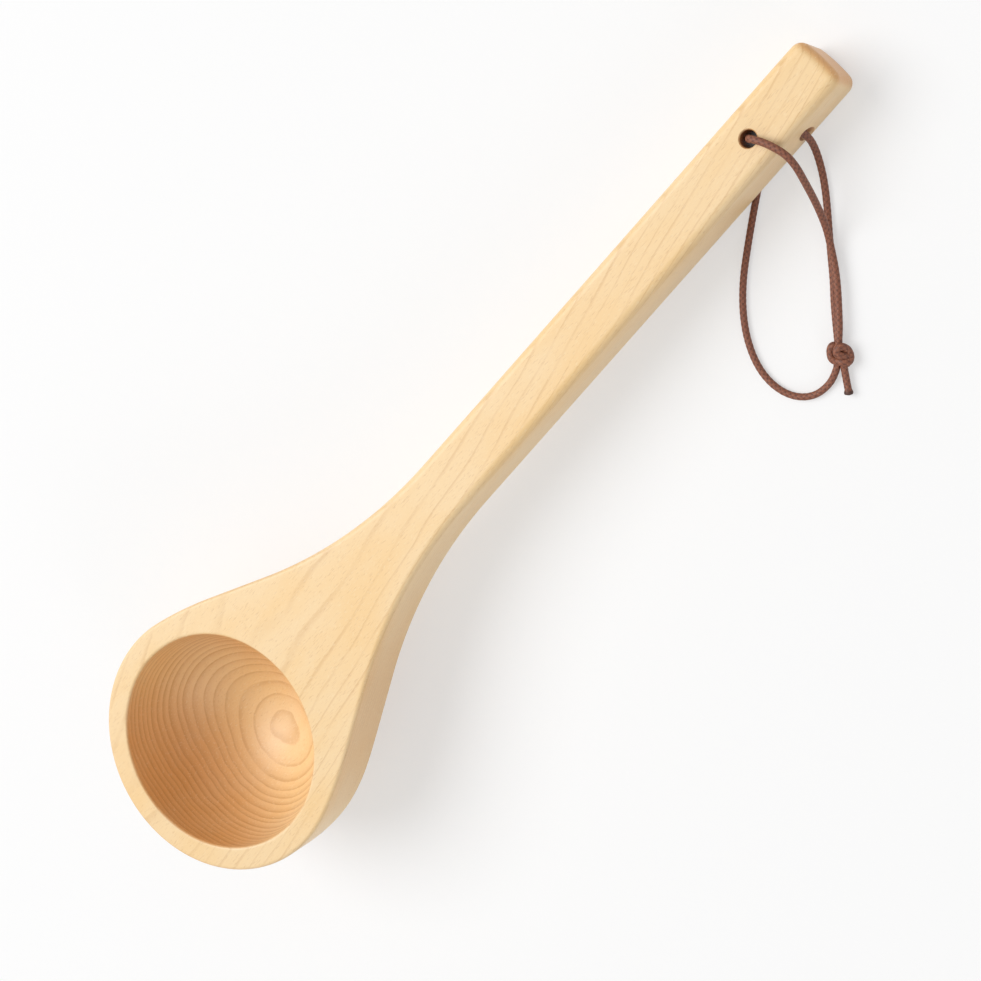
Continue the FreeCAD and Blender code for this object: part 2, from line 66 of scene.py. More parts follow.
def placed(points):
    """Level points in millimetres, tipped by t about the Y axis, shifted, and given in metres.

    x' = x cos t + z sin t, y' = y, z' = z cos t - x sin t
    """
    points = np.asarray(points, float)
    x, y, z = points[..., 0], points[..., 1], points[..., 2]
    tipped = np.stack([
        x * math.cos(TILT) + z * math.sin(TILT),
        y,
        z * math.cos(TILT) - x * math.sin(TILT),
    ], axis=-1)
    return (tipped + SHIFT) * MM


print("end of the handle:", np.round(placed([HANDLE_END, 0.0, 0.0]) / MM, 1).tolist())

# %% [markdown]
# ## The camera
#
# The camera stands above the handle's end and looks down over the ladle to the bowl, turned so that
# the handle climbs from the lower left to the upper right. Its place was found by fitting the
# ladle's outline to the photograph, so the picture's perspective is the same.

# %% Set up the camera
SENSOR_WIDTH = 36.0
FOCAL_LENGTH = 61.1335
NEAREST_SEEN = 0.01
CAMERA_PLACE = (0.27388, -0.11777, 0.52433)
CAMERA_TURN = (-13.3174, 27.0459, -49.3719)


def add_object(name, data):
    """A new object in the scene that carries some data."""
    made = bpy.data.objects.new(name, data)
    bpy.context.scene.collection.objects.link(made)
    return made


camera_data = bpy.data.cameras.new("camera")
camera_data.sensor_width = SENSOR_WIDTH
camera_data.lens = FOCAL_LENGTH
camera_data.clip_start = NEAREST_SEEN
camera = add_object("camera", camera_data)
camera.location = CAMERA_PLACE
camera.rotation_euler = Euler([math.radians(turn) for turn in CAMERA_TURN])
bpy.context.scene.camera = camera
looks_along = camera.rotation_euler.to_matrix() @ Vector((0.0, 0.0, -1.0))
print("the camera looks along", [round(value, 3) for value in looks_along])

# %% [markdown]
# ## The route of the cord
#
# One cord does it all. It starts inside a blind hole in the handle's side, falls to the table,
# passes through the knot, turns back in a wide loop and goes under the handle. There it climbs
# through the bore, bends over the upper face, and falls to the knot again, where its short tail
# comes out. The points are in millimetres, where the cord rests.

# %% Choose the cord's points
CORD_ROUTE = [
    # Out of the blind hole, down to the table and along it to the knot.
    (166.5, -4.5, 17.8), (165.6, -9.6, 9.4), (163.3, -12.9, 3.8), (159.5, -18.3, 1.2),
    (155.8, -23.4, 1.2), (151.7, -28.2, 1.2), (146.6, -33.8, 1.2), (141.8, -39.2, 1.2),
    (136.6, -45.2, 1.2), (132.1, -49.7, 1.2), (127.8, -54.5, 1.2), (124.1, -58.9, 1.4),
    (121.6, -61.8, 1.6), (119.1, -64.2, 2.2), (116.2, -66.0, 1.8),
    # Round the loop and back under the handle.
    (111.1, -67.5, 1.2), (104.4, -66.4, 1.2), (99.2, -61.0, 1.2), (97.4, -52.6, 1.2),
    (99.4, -43.4, 1.2), (105.2, -33.6, 1.2), (114.6, -24.2, 1.2), (126.6, -16.1, 1.2),
    (138.0, -8.9, 1.2), (146.0, -4.3, 1.2), (150.0, -2.2, 1.2), (152.15, -1.1, 1.2),
    # Up through the bore and over the upper face.
    (153.65, -0.3, 2.8), (154.0, -0.1, 7.0), (155.0, 0.2, 14.8), (155.9, 0.1, 22.4),
    (156.2, 0.1, 26.4), (157.4, -1.6, 28.5), (159.4, -5.4, 29.0), (161.2, -12.3, 28.9),
    # Down over the first strand to the knot, and out of it as the tail.
    (160.2, -16.9, 26.6), (157.5, -21.0, 21.6), (154.2, -25.3, 15.0), (150.8, -29.3, 9.0),
    (147.7, -33.5, 5.4), (143.7, -38.6, 3.7), (139.9, -43.9, 3.4), (135.8, -48.7, 3.4),
    (131.4, -53.3, 3.4), (127.0, -57.8, 3.5), (123.2, -60.9, 3.4), (120.7, -65.1, 2.9),
    (118.3, -68.0, 2.3), (116.0, -70.9, 1.8), (114.3, -73.3, 1.7), (113.4, -74.3, 1.7),
]
print("cord route:", len(CORD_ROUTE), "points")

# %% [markdown]
# ## A smooth line
#
# A cord has no corners. Its line is one NURBS spline of order 3, so each point above only pulls the
# line towards it. The points that Blender drew are read back, for the tube below.

# %% Draw the cord's line
SPLINE_ORDER = 3
CORD_RESOLUTION = 40


def spline_points(name, points, resolution):
    """The points, in metres, of one open NURBS line that these millimetre points pull on."""
    curve = bpy.data.curves.new(name, "CURVE")
    curve.dimensions = "3D"
    spline = curve.splines.new("NURBS")
    spline.points.add(len(points) - 1)
    weighted = np.ones((len(points), 4))
    weighted[:, :3] = np.array(points) * MM
    spline.points.foreach_set("co", weighted.ravel())
    spline.order_u = SPLINE_ORDER
    spline.use_endpoint_u = True
    spline.resolution_u = resolution
    line = bpy.data.objects.new(name, curve)
    mesh = bpy.data.meshes.new_from_object(line)
    found = np.empty(len(mesh.vertices) * 3)
    mesh.vertices.foreach_get("co", found)
    bpy.data.objects.remove(line)
    bpy.data.curves.remove(curve)
    bpy.data.meshes.remove(mesh)
    return found.reshape(-1, 3)


def length_of(points):
    """The length of a line of points: its steps, added up."""
    return float(np.linalg.norm(np.diff(points, axis=0), axis=1).sum())


cord_line = spline_points("cord_line", CORD_ROUTE, CORD_RESOLUTION)
print("cord line:", len(cord_line), "points,", round(length_of(cord_line) / MM, 1), "mm")

# %% [markdown]
# ## The pattern of a braid
#
# The cord is a thin round braid. A braid is two families of yarns that wind round a core in
# opposite directions and pass over and under each other. On the unrolled surface of the tube, with
# `around` counting yarns round it and `along` counting crossings, one family has its crowns where
# `around + along` is whole, the other where `around - along` is whole. Each crown rises where its
# yarn is on top and sinks where it dives below.

# %% Work out the braid's relief
CROWN_STEEPNESS = 1.9
WEAVE_MIDDLE = 0.7
WEAVE_SWING = 0.3


def eased(value, start, end):
    """A share that rises smoothly from 0 at the start to 1 at the end.

    s = (value - start) / (end - start), kept within 0 and 1; share = s^2 (3 - 2 s)
    """
    share = np.clip((value - start) / (end - start), 0, 1)
    return share * share * (3 - 2 * share)


def braid_height(around, along):
    """The braid's relief from 0 to 1: at each place the higher of two crowned yarns that weave.

    p = around + along, q = around - along, n = round(p):
    sqrt(1 - (1.9 (p - n))^2) (0.7 + 0.3 cos(pi n) cos(pi q)), and for q the same with a minus
    """
    first, second = around + along, around - along
    heights = []
    for own, other, sign in ((first, second, 1), (second, first, -1)):
        yarn = np.round(own)
        crown = np.sqrt(1 - (CROWN_STEEPNESS * (own - yarn)) ** 2)
        weave = sign * WEAVE_SWING * np.cos(math.pi * yarn) * np.cos(math.pi * other)
        heights.append(crown * (WEAVE_MIDDLE + weave))
    return np.maximum(*heights)


crown_and_gap = braid_height(np.array([0.0, 0.5]), 0.0)
print("relief on a crown and in a gap:", np.round(crown_and_gap, 2).tolist())

# %% [markdown]
# ## Rings of points become a mesh
#
# The cord, the knot, the ladle and its drills are all made in the same way: rings of points with
# four-sided faces between them, and a fan to one middle point at each end.

# %% Helpers that close rings into a mesh
def closed_faces(rows, columns):
    """The faces of a closed skin: a grid of rings, and a fan at each end.

    The two middle points of the fans are the last two points, after all the rings.
    """
    row, column = np.meshgrid(np.arange(rows - 1), np.arange(columns), indexing="ij")
    here = row * columns + column
    beside = row * columns + (column + 1) % columns
    faces = np.stack([here, beside, beside + columns, here + columns], -1).reshape(-1, 4).tolist()
    first_middle = rows * columns
    last_ring = first_middle - columns
    for number in range(columns):
        after = (number + 1) % columns
        faces.append([first_middle, after, number])
        faces.append([first_middle + 1, last_ring + number, last_ring + after])
    return faces


def mesh_from(name, vertices, faces):
    """An object with a mesh from vertices in metres and a list of faces, shaded smooth."""
    mesh = bpy.data.meshes.new(name)
    mesh.from_pydata(vertices.tolist(), [], faces)
    mesh.validate()
    mesh.polygons.foreach_set("use_smooth", np.ones(len(mesh.polygons), bool))
    mesh.update()
    return add_object(name, mesh)


def volume_of(mesh):
    """The volume in cubic millimetres in a mesh; it is negative if the mesh is inside out.

    V = sum over all triangles of a . (b x c) / 6
    """
    mesh.calc_loop_triangles()
    corners = np.empty(len(mesh.loop_triangles) * 3, np.int32)
    mesh.loop_triangles.foreach_get("vertices", corners)
    places = np.empty(len(mesh.vertices) * 3)
    mesh.vertices.foreach_get("co", places)
    a, b, c = places.reshape(-1, 3)[corners.reshape(-1, 3)].transpose(1, 0, 2)
    return round(float(np.einsum("ij,ij->i", a, np.cross(b, c)).sum() / 6) / MM ** 3, 1)


print("a skin of 3 rings of 4 points has", len(closed_faces(3, 4)), "faces")

# %% [markdown]
# ## A braided tube
#
# The tube follows the line in even steps, and the ring of points at each step swells and sinks with
# the braid. The ends are rounded. Where a cut end was melted so that it doesn't fray, it swells a
# little and is charred over its last millimetres.

# %% Step along the line
ANY_DIRECTION = (0.3, 0.2, 0.9)


def even_points(points, step):
    """Points the same step apart along a line, with the line's length worked out to each."""
    steps = np.linalg.norm(np.diff(points, axis=0), axis=1)
    reached = np.concatenate([[0], np.cumsum(steps)])
    stations = np.linspace(0, reached[-1], int(round(reached[-1] / step)) + 1)
    places = [np.interp(stations, reached, points[:, axis]) for axis in range(3)]
    return np.stack(places, 1), stations


def tube_frames(line):
    """Two directions square to the line at each point, carried along it without twisting."""
    tangents = np.gradient(line, axis=0)
    tangents /= np.linalg.norm(tangents, axis=1)[:, None]
    side = np.cross(tangents[0], ANY_DIRECTION)
    sides = []
    for tangent in tangents:
        side = side - tangent * (side @ tangent)
        side /= np.linalg.norm(side)
        sides.append(side)
    sides = np.array(sides)
    return sides, np.cross(tangents, sides)


print("even steps of 1 mm:", len(even_points(cord_line, 1 * MM)[1]), "points")

# %% Carry the braid along the cord
CORD_DIAMETER = 2.4
YARNS = 8
CROSSING_STEP = 0.95
YARN_RELIEF = 0.12
TUBE_STEP = 0.25
TUBE_SIDES = 32
END_ROUNDING = 0.6
END_SHARE = 0.35
CHAR_START = 2.2
CHAR_FULL = 0.9
MELT_SWELL = 0.25
RELIEF_AT_ENDS = 0.5


def braided_tube(name, line, diameter, end_swell=0.0):
    """A closed braided tube and its line, with the relief and the char kept as attributes.

    radius = (diameter / 2 - YARN_RELIEF (1 - height)) (END_SHARE + (1 - END_SHARE) rounding)
    """
    line, stations = even_points(line, TUBE_STEP * MM)
    right, up = tube_frames(line)
    turn = np.arange(TUBE_SIDES) / TUBE_SIDES
    around, along = np.meshgrid(turn * YARNS / 2, stations / (CROSSING_STEP * MM * 2), indexing="xy")
    height = braid_height(around, along)
    to_end = np.minimum(stations, stations[-1] - stations) / (END_ROUNDING * MM)
    rounding = np.sqrt(1 - (1 - np.clip(to_end, 0, 1)) ** 2)[:, None]
    radius = diameter / 2 * MM - YARN_RELIEF * MM * (1 - height)
    radius *= END_SHARE + (1 - END_SHARE) * rounding
    char = eased(stations, stations[-1] - CHAR_START * MM, stations[-1] - CHAR_FULL * MM)
    char *= end_swell > 0
    radius *= 1 + end_swell * char[:, None]
    angle = 2 * math.pi * turn[None, :, None]
    spokes = np.cos(angle) * right[:, None] + np.sin(angle) * up[:, None]
    skin = line[:, None] + radius[..., None] * spokes
    vertices = np.concatenate([skin.reshape(-1, 3), line[:1], line[-1:]])
    piece = mesh_from(name, vertices, closed_faces(len(line), TUBE_SIDES))
    relief = np.concatenate([height.ravel(), [RELIEF_AT_ENDS] * 2])
    charred = np.concatenate([np.repeat(char, TUBE_SIDES), [char[0], char[-1]]])
    for attribute, values in (("relief", relief), ("char", charred)):
        piece.data.attributes.new(attribute, "FLOAT", "POINT").data.foreach_set("value", values)
    return piece, line


cord, cord_path = braided_tube("cord", cord_line, CORD_DIAMETER, end_swell=MELT_SWELL)
print("cord:", len(cord.data.vertices), "vertices,", volume_of(cord.data), "mm3")

# %% [markdown]
# ## The outline of the ladle
#
# Seen from above, the ladle's edge is a chain of arcs and straight runs that meet smoothly: round
# the bowl, a long cheek, a straight flank, a hollow throat, the slightly tapered handle, a rounded
# corner and a slightly bulged end. Only one half is drawn. The other is its mirror image.

# %% Helpers that draw arcs and straight runs
OUTLINE_STEP = 1.3
FEWEST_ON_ARC = 9
FEWEST_ON_RUN = 3


def direction(angle):
    """The unit vector (cos a, sin a) at an angle, or one for each of several angles."""
    return np.stack([np.cos(angle), np.sin(angle)], axis=-1)


def arc_run(centre, radius, start, end):
    """An arc's points and outward normals. A negative radius makes a hollow arc."""
    count = max(FEWEST_ON_ARC, int(abs(radius * (end - start)) / OUTLINE_STEP))
    normals = direction(np.linspace(start, end, count))
    return np.asarray(centre) + radius * normals, normals


def straight_run(start, end, angle):
    """A straight run's points, with the same outward normal all along."""
    count = max(FEWEST_ON_RUN, int(np.linalg.norm(np.subtract(end, start)) / OUTLINE_STEP))
    share = np.linspace(0, 1, count)[:, None]
    return (1 - share) * start + share * end, np.tile(direction(angle), (count, 1))


def joined(runs):
    """Runs put end to end, without the points that neighbours share."""
    points = [runs[0][0]] + [points[1:] for points, _ in runs[1:]]
    normals = [runs[0][1]] + [normals[1:] for _, normals in runs[1:]]
    return np.concatenate(points), np.concatenate(normals)


print("a quarter of a 50 mm circle:", len(arc_run((0, 0), 50.0, 0, math.pi / 2)[0]), "points")

# %% Work out the outline
BOWL_RADIUS = 50.0
CHEEK_RADIUS = 165.0
FLANK_REACH = 51.4
FLANK_NORMAL = math.radians(65.0)
THROAT_RADIUS = 182.0
SIDE_NORMAL = math.radians(89.6)
END_HALF_WIDTH = 9.2
END_CORNER = 3.6
END_BULGE_RADIUS = 60.0
MIRROR = np.array([1.0, -1.0])


def half_outline():
    """The outline's left-hand half from the back of the bowl to the middle of the handle's end."""
    swing = math.acos((CHEEK_RADIUS - FLANK_REACH) / (CHEEK_RADIUS - BOWL_RADIUS))
    cheek_start = FLANK_NORMAL + swing
    cheek_centre = (BOWL_RADIUS - CHEEK_RADIUS) * direction(cheek_start)
    end_centre = np.array([HANDLE_END - END_BULGE_RADIUS, 0.0])
    end_normal = math.asin((END_HALF_WIDTH - END_CORNER) / (END_BULGE_RADIUS - END_CORNER))
    corner_centre = end_centre + (END_BULGE_RADIUS - END_CORNER) * direction(end_normal)
    side_distance = corner_centre @ direction(SIDE_NORMAL) + END_CORNER
    throat_centre = np.linalg.solve(
        np.stack([direction(FLANK_NORMAL), direction(SIDE_NORMAL)]),
        [FLANK_REACH + THROAT_RADIUS, side_distance + THROAT_RADIUS])
    return joined([
        arc_run((0, 0), BOWL_RADIUS, math.pi, cheek_start),
        arc_run(cheek_centre, CHEEK_RADIUS, cheek_start, FLANK_NORMAL),
        straight_run(cheek_centre + CHEEK_RADIUS * direction(FLANK_NORMAL),
                     throat_centre - THROAT_RADIUS * direction(FLANK_NORMAL), FLANK_NORMAL),
        arc_run(throat_centre, -THROAT_RADIUS, FLANK_NORMAL, SIDE_NORMAL),
        straight_run(throat_centre - THROAT_RADIUS * direction(SIDE_NORMAL),
                     corner_centre + END_CORNER * direction(SIDE_NORMAL), SIDE_NORMAL),
        arc_run(corner_centre, END_CORNER, SIDE_NORMAL, end_normal),
        arc_run(end_centre, END_BULGE_RADIUS, end_normal, 0.0),
    ])


half_points, half_normals = half_outline()
outline = np.concatenate([half_points, (half_points * MIRROR)[-2:0:-1]])
outline_normals = np.concatenate([half_normals, (half_normals * MIRROR)[-2:0:-1]])
print("outline:", len(outline), "points, widest", round(float(np.ptp(outline[:, 1])), 2), "mm")

# %% [markdown]
# ## The underside
#
# Below, the ladle is the union of two solids: the board, flat underneath and swept up in an arc
# towards the bowl, and the turned bowl with its round shoulder and shallow bottom. The carver
# leaves a soft hollow where they meet. Distance functions do the same: the smaller of two distances
# is a plain union, and where both are nearly equal the distance is made a little smaller still,
# which fills the corner. The underside is then the height at which that distance is nought.

# %% Measure distances from the board and from the bowl
BOARD_THICKNESS = 24.0
SWEEP_START = 25.0
SWEEP_RADIUS = 36.0
BOWL_DEPTH = 50.0
BOWL_BAND = 14.0
SHOULDER_RADIUS = 24.0
ROOT_BLEND = 6.0
inset = BOWL_RADIUS - SHOULDER_RADIUS
drop = BOWL_DEPTH - BOWL_BAND
BOTTOM_RADIUS = (inset ** 2 + drop ** 2 - SHOULDER_RADIUS ** 2) / (2 * (drop - SHOULDER_RADIUS))


def board_distance(x, z):
    """How far a point is below the board: below its flat part, or outside the sweep's circle.

    d = -24 - z past the sweep's start, and hypot(x - 25, z + 24 - 36) - 36 before it
    """
    swept = np.hypot(x - SWEEP_START, z - SWEEP_RADIUS + BOARD_THICKNESS) - SWEEP_RADIUS
    return np.where(x > SWEEP_START, -BOARD_THICKNESS - z, swept)


def bowl_distance(reach, z):
    """How far a point at some reach from the bowl's axis is outside its band, shoulder or bottom.

    band: reach - 50; shoulder: hypot(reach - 26, z + 14) - 24; bottom: hypot(reach, z - c) - R
    """
    centre_z = BOTTOM_RADIUS - BOWL_DEPTH
    to_bottom = np.hypot(reach, z - centre_z) - BOTTOM_RADIUS
    to_shoulder = np.hypot(reach - inset, z + BOWL_BAND) - SHOULDER_RADIUS
    over_bottom = reach * (BOWL_BAND + centre_z) < -inset * (z - centre_z)
    below_band = np.where(over_bottom, to_bottom, to_shoulder)
    return np.where(z > -BOWL_BAND, reach - BOWL_RADIUS, below_band)


def smooth_smaller(first, second, width):
    """The smaller of two distances, taken down further where they differ by less than a width.

    d = min(a, b) - h^2 w / 4, with h = (w - |a - b|) / w where that is above nought
    """
    overlap = np.clip(width - np.abs(first - second), 0, None) / width
    return np.minimum(first, second) - overlap ** 2 * width / 4


print("radius of the bowl's bottom:", round(BOTTOM_RADIUS, 1), "mm")

# %% Work out the height of the underside
HALVINGS = 40
SEARCH_BELOW = 1.0
SEARCH_TOP = -0.5


def underside(x, y):
    """The height of the ladle's underside at places in plan, by halving the range that holds it."""
    reach = np.hypot(x, y)
    low = np.full(np.shape(x), -BOWL_DEPTH - SEARCH_BELOW)
    high = np.full(np.shape(x), SEARCH_TOP)
    for _ in range(HALVINGS):
        middle = (low + high) / 2
        board, bowl = board_distance(x, middle), bowl_distance(reach, middle)
        outside = smooth_smaller(board, bowl, ROOT_BLEND) > 0
        low = np.where(outside, middle, low)
        high = np.where(outside, high, middle)
    return high


two_places = underside(np.array([0.0, 200.0]), np.array([0.0, 0.0]))
print("underside at the axis and under the handle:", np.round(two_places, 2).tolist())

# %% [markdown]
# ## One skin for the whole ladle
#
# The skin is a grid. One direction runs round the outline. The other starts at the middle of the
# hollow, climbs to the mouth, crosses the flat upper face, rounds the upper edge, goes down the
# wall, rounds the lower edge, and runs back along the underside to the bottom of the bowl. The
# edges are rounded more on the handle, where the hand holds it, than round the bowl.

# %% Helpers that place a ring
UPPER_AT_BOWL, UPPER_ADDED, UPPER_AT_END = 1.3, 1.6, 0.3
LOWER_AT_BOWL, LOWER_ADDED = 0.4, 2.2
UPPER_SPAN, END_SPAN, LOWER_SPAN = (40.0, 170.0), (318.0, 323.0), (0.0, 140.0)

upper_rounding = UPPER_AT_BOWL + UPPER_ADDED * eased(outline[:, 0], *UPPER_SPAN)
upper_rounding += UPPER_AT_END * eased(outline[:, 0], *END_SPAN)
lower_rounding = LOWER_AT_BOWL + LOWER_ADDED * eased(outline[:, 0], *LOWER_SPAN)
polar = np.arctan2(outline[:, 1], outline[:, 0])


def circle_ring(radius, height):
    """A ring of one radius and height about the bowl's axis, at the outline points' own angles."""
    return np.column_stack([radius * direction(polar), np.full(len(polar), height)])


def inset_ring(distance, height):
    """The outline moved inwards by a distance, at a height; both may change along the outline."""
    plan = outline - np.reshape(distance, (-1, 1)) * outline_normals
    return np.column_stack([plan, np.broadcast_to(height, len(outline))])


print("upper edge rounded by", round(float(upper_rounding.min()), 2), "to",
      round(float(upper_rounding.max()), 2), "mm")

# %% [markdown]
# ## The hollow and the upper face
#
# The hollow is part of a sphere, as a turner's tool leaves it, and its lip is a quarter round. One
# more ring, a hair away from the lip and from each edge, keeps the flat face's shading flat.

# %% Work out the rings of the hollow and of the upper face
MOUTH_RADIUS = 41.0
MOUTH_DEPTH = 40.0
LIP_RADIUS = 1.0
SUPPORT = 0.3
HOLLOW_RINGS, LIP_RINGS, FACE_RINGS, EDGE_RINGS = 48, 7, 9, 9
FIRST_ANGLE = 0.02
QUARTER = math.pi / 2
HOLLOW_RADIUS = (MOUTH_RADIUS ** 2 + MOUTH_DEPTH ** 2) / (2 * MOUTH_DEPTH)


def hollow_rings():
    """Rings from the bottom of the hollow up to the lip: R sin a wide, at the height c - R cos a."""
    centre_z = HOLLOW_RADIUS - MOUTH_DEPTH
    last_angle = math.acos((centre_z + LIP_RADIUS) / HOLLOW_RADIUS)
    rows = [circle_ring(HOLLOW_RADIUS * math.sin(angle), centre_z - HOLLOW_RADIUS * math.cos(angle))
            for angle in np.linspace(FIRST_ANGLE, last_angle, HOLLOW_RINGS)]
    lip_centre = HOLLOW_RADIUS * math.sin(last_angle) + LIP_RADIUS
    for angle in np.linspace(0, QUARTER, LIP_RINGS)[1:]:
        radius = lip_centre - LIP_RADIUS * math.cos(angle)
        rows.append(circle_ring(radius, LIP_RADIUS * (math.sin(angle) - 1)))
    return rows, lip_centre


def upper_rings(lip_centre):
    """The flat upper face from the lip to the edge, then the edge's quarter round."""
    start = circle_ring(lip_centre + SUPPORT, 0.0)
    end = inset_ring(upper_rounding + SUPPORT, 0.0)
    rows = [start + share * (end - start) for share in np.linspace(0, 1, FACE_RINGS)]
    for angle in np.linspace(0, QUARTER, EDGE_RINGS):
        distance = upper_rounding * (1 - math.sin(angle))
        rows.append(inset_ring(distance, upper_rounding * (math.cos(angle) - 1)))
    return rows


skin_rows, lip_centre = hollow_rings()
skin_rows += upper_rings(lip_centre)
print("radius of the hollow:", round(HOLLOW_RADIUS, 2), "mm, rings so far:", len(skin_rows))

# %% [markdown]
# ## The wall and the underside
#
# The wall drops straight from the upper edge to the lower one. Below it the rings close in on the
# bowl's axis, closely packed over the root of the neck and the bowl's shoulder.

# %% Work out the rings of the wall
WALL_RINGS = 8
JUST_INSIDE = 0.005


def wall_rings():
    """The upright wall, then the lower edge's quarter round, on top of the underside's height."""
    edge = inset_ring(JUST_INSIDE, 0.0)
    top = -upper_rounding
    bottom = underside(edge[:, 0], edge[:, 1]) + lower_rounding
    rows = [inset_ring(0.0, top + share * (bottom - top))
            for share in np.linspace(0, 1, WALL_RINGS)[1:]]
    for angle in np.linspace(0, QUARTER, EDGE_RINGS)[1:]:
        ring = inset_ring(np.maximum(lower_rounding * (1 - math.cos(angle)), JUST_INSIDE), 0.0)
        ring[:, 2] = underside(ring[:, 0], ring[:, 1]) + lower_rounding * (1 - math.sin(angle))
        rows.append(ring)
    return rows


skin_rows += wall_rings()
print("rings so far:", len(skin_rows))

# %% Work out the rings of the underside
HANDLE_SHARES = (0.7, 0.4, 0.15, 0)
NECK_RINGS, SHOULDER_RINGS, BOTTOM_RINGS = 16, 18, 20
NECK_REACH = 18.0
NECK_SHARE = 0.97
SHOULDER_ANGLES = (math.radians(15), math.radians(40))
INNERMOST = 0.8


def lower_rings():
    """The underside: in towards the bowl, past the root of the neck, and down to the middle."""
    start = inset_ring(lower_rounding + SUPPORT, 0.0)
    outer = np.hypot(start[:, 0], start[:, 1])
    unit = start[:, :2] / outer[:, None]
    shoulder = np.linspace(*SHOULDER_ANGLES, SHOULDER_RINGS)
    bowl_radii = list(inset + SHOULDER_RADIUS * np.cos(shoulder))
    bowl_radii += list(np.linspace(bowl_radii[-1], INNERMOST, BOTTOM_RINGS)[1:])
    first = bowl_radii[0]
    neck = np.minimum(outer - first, NECK_REACH) * NECK_SHARE
    reaches = [first + neck + share * (outer - first - neck) for share in HANDLE_SHARES]
    reaches += [first + neck * share for share in np.linspace(1, 0, NECK_RINGS)[1:-1]]
    reaches += [np.full(len(outer), radius) for radius in bowl_radii]
    plans = [start[:, :2]] + [unit * np.reshape(reach, (-1, 1)) for reach in reaches]
    return [np.column_stack([plan, underside(plan[:, 0], plan[:, 1])]) for plan in plans]


skin_rows += lower_rings()
skin = np.array(skin_rows)
print("skin:", skin.shape[0], "rings of", skin.shape[1], "points")

# %% Close the skin and make it a mesh
skin_middles = np.array([[0, 0, -MOUTH_DEPTH], [0, 0, -BOWL_DEPTH]])
ladle = mesh_from("ladle_wood", placed(np.concatenate([skin.reshape(-1, 3), skin_middles])),
                  closed_faces(*skin.shape[:2]))
print("ladle:", len(ladle.data.polygons), "faces,", volume_of(ladle.data), "mm3")

# %% [markdown]
# ## The cord's two bores
#
# A straight bore goes through the handle from face to face, with a small flare at each mouth. A
# second, blind bore slopes up into the handle's side, and the cord's other end is held in it. Both
# are cut the way a drill does it: a tool shape is worked out as a turned profile, and a Boolean
# takes it away from the wood.

# %% Helpers that shape a drill
BORE_PLACE = (294.0, 0.0, 0.0)
BORE_RADIUS = 2.75
BORE_FLARE = 0.7
FLARE_ANGLES = np.radians(np.linspace(35, 90, 7))
FLARE_RUNOUT = ((1.5, 1.2), (0.15, 0.1))
DRILL_SIDES = 48


def turned_tool(name, profile, base, axis):
    """A closed turned solid: (height, radius) pairs carried round an axis that starts at a base."""
    axis = np.asarray(axis, float)
    side = np.cross(axis, (1.0, 0.0, 0.0))
    side /= np.linalg.norm(side)
    turn = 2 * math.pi * np.arange(DRILL_SIDES) / DRILL_SIDES
    spokes = np.cos(turn)[:, None] * side + np.sin(turn)[:, None] * np.cross(axis, side)
    heights, radii = np.array(profile).T
    turned_rings = np.array(base) + heights[:, None, None] * axis + radii[:, None, None] * spokes
    ends = np.array(base) + heights[[0, -1], None] * axis
    vertices = placed(np.concatenate([turned_rings.reshape(-1, 3), ends]))
    return mesh_from(name, vertices, closed_faces(len(profile), DRILL_SIDES))


def flare(height, outwards):
    """One flared mouth of the bore, as (height, radius) pairs in climbing order.

    At an angle a: F (1 - cos a) inside the face, and F (1 - sin a) wider than the bore
    """
    pairs = [(height - outwards * BORE_FLARE * (1 - math.cos(angle)),
              BORE_RADIUS + BORE_FLARE * (1 - math.sin(angle))) for angle in FLARE_ANGLES]
    mouth_height, mouth_radius = pairs[0]
    pairs = [(mouth_height + outwards * beyond, mouth_radius + wider)
             for beyond, wider in FLARE_RUNOUT] + pairs
    return pairs if outwards < 0 else pairs[::-1]


bore_profile = flare(-BOARD_THICKNESS, -1) + flare(0.0, 1)
drill = turned_tool("drill", bore_profile, BORE_PLACE, (0, 0, 1))
print("the drill for the through bore:", volume_of(drill.data), "mm3")

# %% Shape the drill for the blind bore
SIDE_BORE_PLACE = (305.0, -9.3, -16.0)
SIDE_BORE_RADIUS = 2.8
SIDE_BORE_SLOPE = math.radians(60.0)
SIDE_BORE_DEPTH = 10.0
SIDE_BORE_START = -7.0
DRILL_POINT = ((1.5, SIDE_BORE_RADIUS), (0.3, 1.2), (0.0, 0.4))

side_axis = (0.0, math.cos(SIDE_BORE_SLOPE), math.sin(SIDE_BORE_SLOPE))
side_profile = [(SIDE_BORE_START, SIDE_BORE_RADIUS)]
side_profile += [(SIDE_BORE_DEPTH - before, radius) for before, radius in DRILL_POINT]
side_drill = turned_tool("side_drill", side_profile, SIDE_BORE_PLACE, side_axis)
print("the drill for the blind bore:", volume_of(side_drill.data), "mm3")

# %% Drill both bores
SHARP_EDGE = math.radians(32)

for tool in (drill, side_drill):
    cut = ladle.modifiers.new(tool.name, "BOOLEAN")
    cut.object = tool
    cut.operation = "DIFFERENCE"
    cut.solver = "EXACT"
shapes = bpy.context.evaluated_depsgraph_get()
drilled = bpy.data.meshes.new_from_object(ladle.evaluated_get(shapes))
ladle.modifiers.clear()
ladle.data = drilled
for tool in (drill, side_drill):
    bpy.data.objects.remove(tool)
drilled.set_sharp_from_angle(angle=SHARP_EDGE)
print("drilled ladle:", len(drilled.polygons), "faces,", volume_of(drilled), "mm3")

# %% [markdown]
# ## The knot
#
# Both strands are tied together in one overhand knot. Its turns bulge to the left and right of the
# strands, cross over them in front, and end where the short tail leaves. They are one more braided
# tube, a little thicker, whose line is its own spline through the knot's turns.

